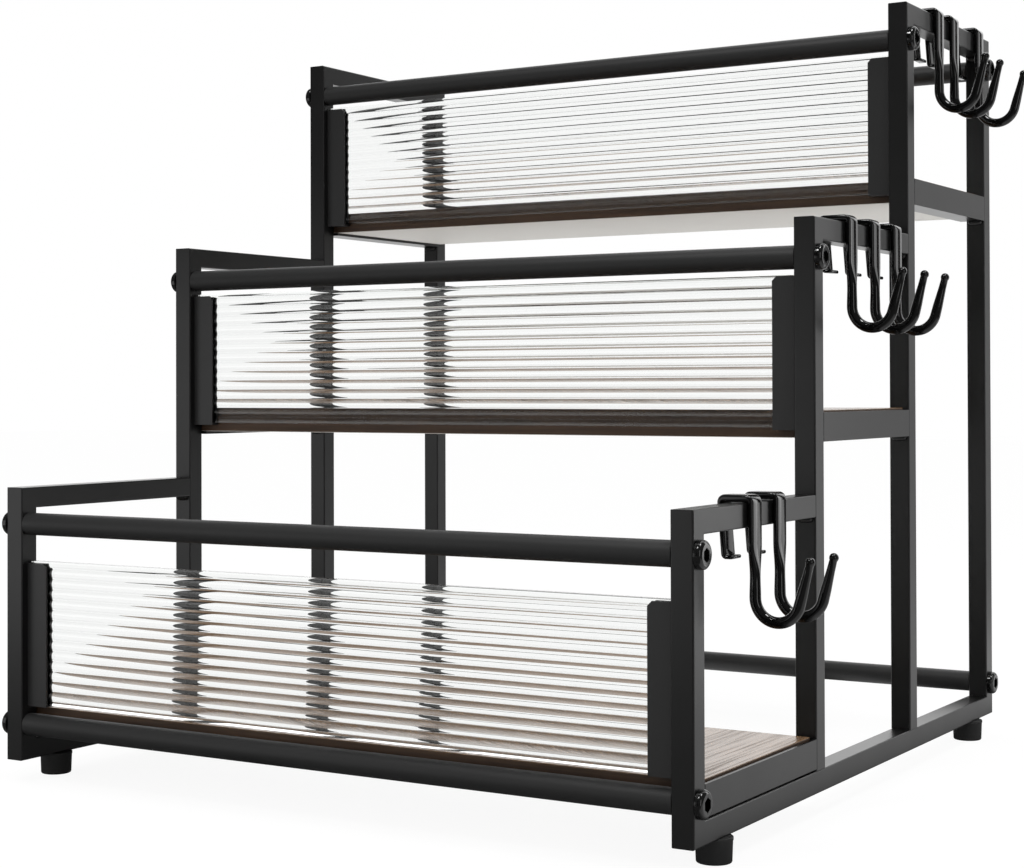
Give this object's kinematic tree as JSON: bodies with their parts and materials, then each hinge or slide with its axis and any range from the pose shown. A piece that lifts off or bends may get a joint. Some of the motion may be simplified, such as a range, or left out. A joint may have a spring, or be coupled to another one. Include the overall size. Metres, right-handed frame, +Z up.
{
  "type": "coffee station organizer",
  "caption": "Stepped counter-top rack of black square tube with wood-grain shelves, clear fluted fronts, round guard bars and J-shaped cup hooks on the right-hand rails.",
  "frame": {"origin": "on the surface the feet stand on, under the centre of the whole outline's bounding box", "axes": "+X to the rack's right side, where the cup hooks hang; +Y from the front to the back; +Z up"},
  "size_m": [0.397, 0.3758, 0.3819],
  "materials": {
    "frame_black": "satin black powder coat on welded steel tube and angle",
    "bolt_black": "gloss black plated socket bolts",
    "insert_steel": "zinc plated, hidden in the bar ends",
    "screw_steel": "zinc plated",
    "foot_rubber": "matt black",
    "shelf_laminate": "dark brown wood-grain laminate on top and edges, pale grey underneath",
    "clear_acrylic": "clear, polished, with horizontal flutes on the front",
    "clip_black": "satin black powder coat on folded sheet",
    "hook_enamel": "gloss black enamel"
  },
  "bodies": {
    "rack": {"left_bottom_rail": "frame_black", "left_front_post": "frame_black", "left_second_post": "frame_black", "left_third_post": "frame_black", "left_rear_post": "frame_black", "left_lower_top_rail": "frame_black", "left_middle_top_rail": "frame_black", "left_upper_top_rail": "frame_black", "left_lower_shelf_angle": "frame_black", "left_middle_shelf_angle": "frame_black", "left_upper_shelf_angle": "frame_black", "left_lower_panel_clip": "clip_black", "left_middle_panel_clip": "clip_black", "left_upper_panel_clip": "clip_black", "left_front_foot": "foot_rubber", "left_rear_foot": "foot_rubber", "left_bolts": "bolt_black", "right_bottom_rail": "frame_black", "right_front_post": "frame_black", "right_second_post": "frame_black", "right_third_post": "frame_black", "right_rear_post": "frame_black", "right_lower_top_rail": "frame_black", "right_middle_top_rail": "frame_black", "right_upper_top_rail": "frame_black", "right_lower_shelf_angle": "frame_black", "right_middle_shelf_angle": "frame_black", "right_upper_shelf_angle": "frame_black", "right_lower_panel_clip": "clip_black", "right_middle_panel_clip": "clip_black", "right_upper_panel_clip": "clip_black", "right_front_foot": "foot_rubber", "right_rear_foot": "foot_rubber", "right_bolts": "bolt_black", "lower_front_bar": "frame_black", "lower_guard_bar": "frame_black", "middle_guard_bar": "frame_black", "upper_guard_bar": "frame_black", "rear_upper_bar": "frame_black", "rear_bottom_bar": "frame_black", "bar_inserts": "insert_steel", "foot_screws": "screw_steel", "lower_shelf": "shelf_laminate", "middle_shelf": "shelf_laminate", "upper_shelf": "shelf_laminate", "lower_panel": "clear_acrylic", "middle_panel": "clear_acrylic", "upper_panel": "clear_acrylic"},
    "lower_hook_1": {"lower_hook_1": "hook_enamel"},
    "lower_hook_2": {"lower_hook_2": "hook_enamel"},
    "middle_hook_1": {"middle_hook_1": "hook_enamel"},
    "middle_hook_2": {"middle_hook_2": "hook_enamel"},
    "middle_hook_3": {"middle_hook_3": "hook_enamel"},
    "upper_hook_1": {"upper_hook_1": "hook_enamel"},
    "upper_hook_2": {"upper_hook_2": "hook_enamel"},
    "upper_hook_3": {"upper_hook_3": "hook_enamel"}
  },
  "joints": [
    {"name": "lower_hook_1_slide", "type": "slide", "parent": "rack", "child": "lower_hook_1", "axis": [0, 1, 0], "range_m": [-0.03822, 0.00739]},
    {"name": "lower_hook_2_slide", "type": "slide", "parent": "rack", "child": "lower_hook_2", "axis": [0, 1, 0], "range_m": [-0.00739, 0.03761]},
    {"name": "middle_hook_1_slide", "type": "slide", "parent": "rack", "child": "middle_hook_1", "axis": [0, 1, 0], "range_m": [-0.02423, 0.00946]},
    {"name": "middle_hook_2_slide", "type": "slide", "parent": "rack", "child": "middle_hook_2", "axis": [0, 1, 0], "range_m": [-0.00946, 0.00922]},
    {"name": "middle_hook_3_slide", "type": "slide", "parent": "rack", "child": "middle_hook_3", "axis": [0, 1, 0], "range_m": [-0.00922, 0.0155]},
    {"name": "upper_hook_1_slide", "type": "slide", "parent": "rack", "child": "upper_hook_1", "axis": [0, 1, 0], "range_m": [-0.02671, 0.00668]},
    {"name": "upper_hook_2_slide", "type": "slide", "parent": "rack", "child": "upper_hook_2", "axis": [0, 1, 0], "range_m": [-0.00668, 0.01542]},
    {"name": "upper_hook_3_slide", "type": "slide", "parent": "rack", "child": "upper_hook_3", "axis": [0, 1, 0], "range_m": [-0.01542, 0.00629]}
  ]
}
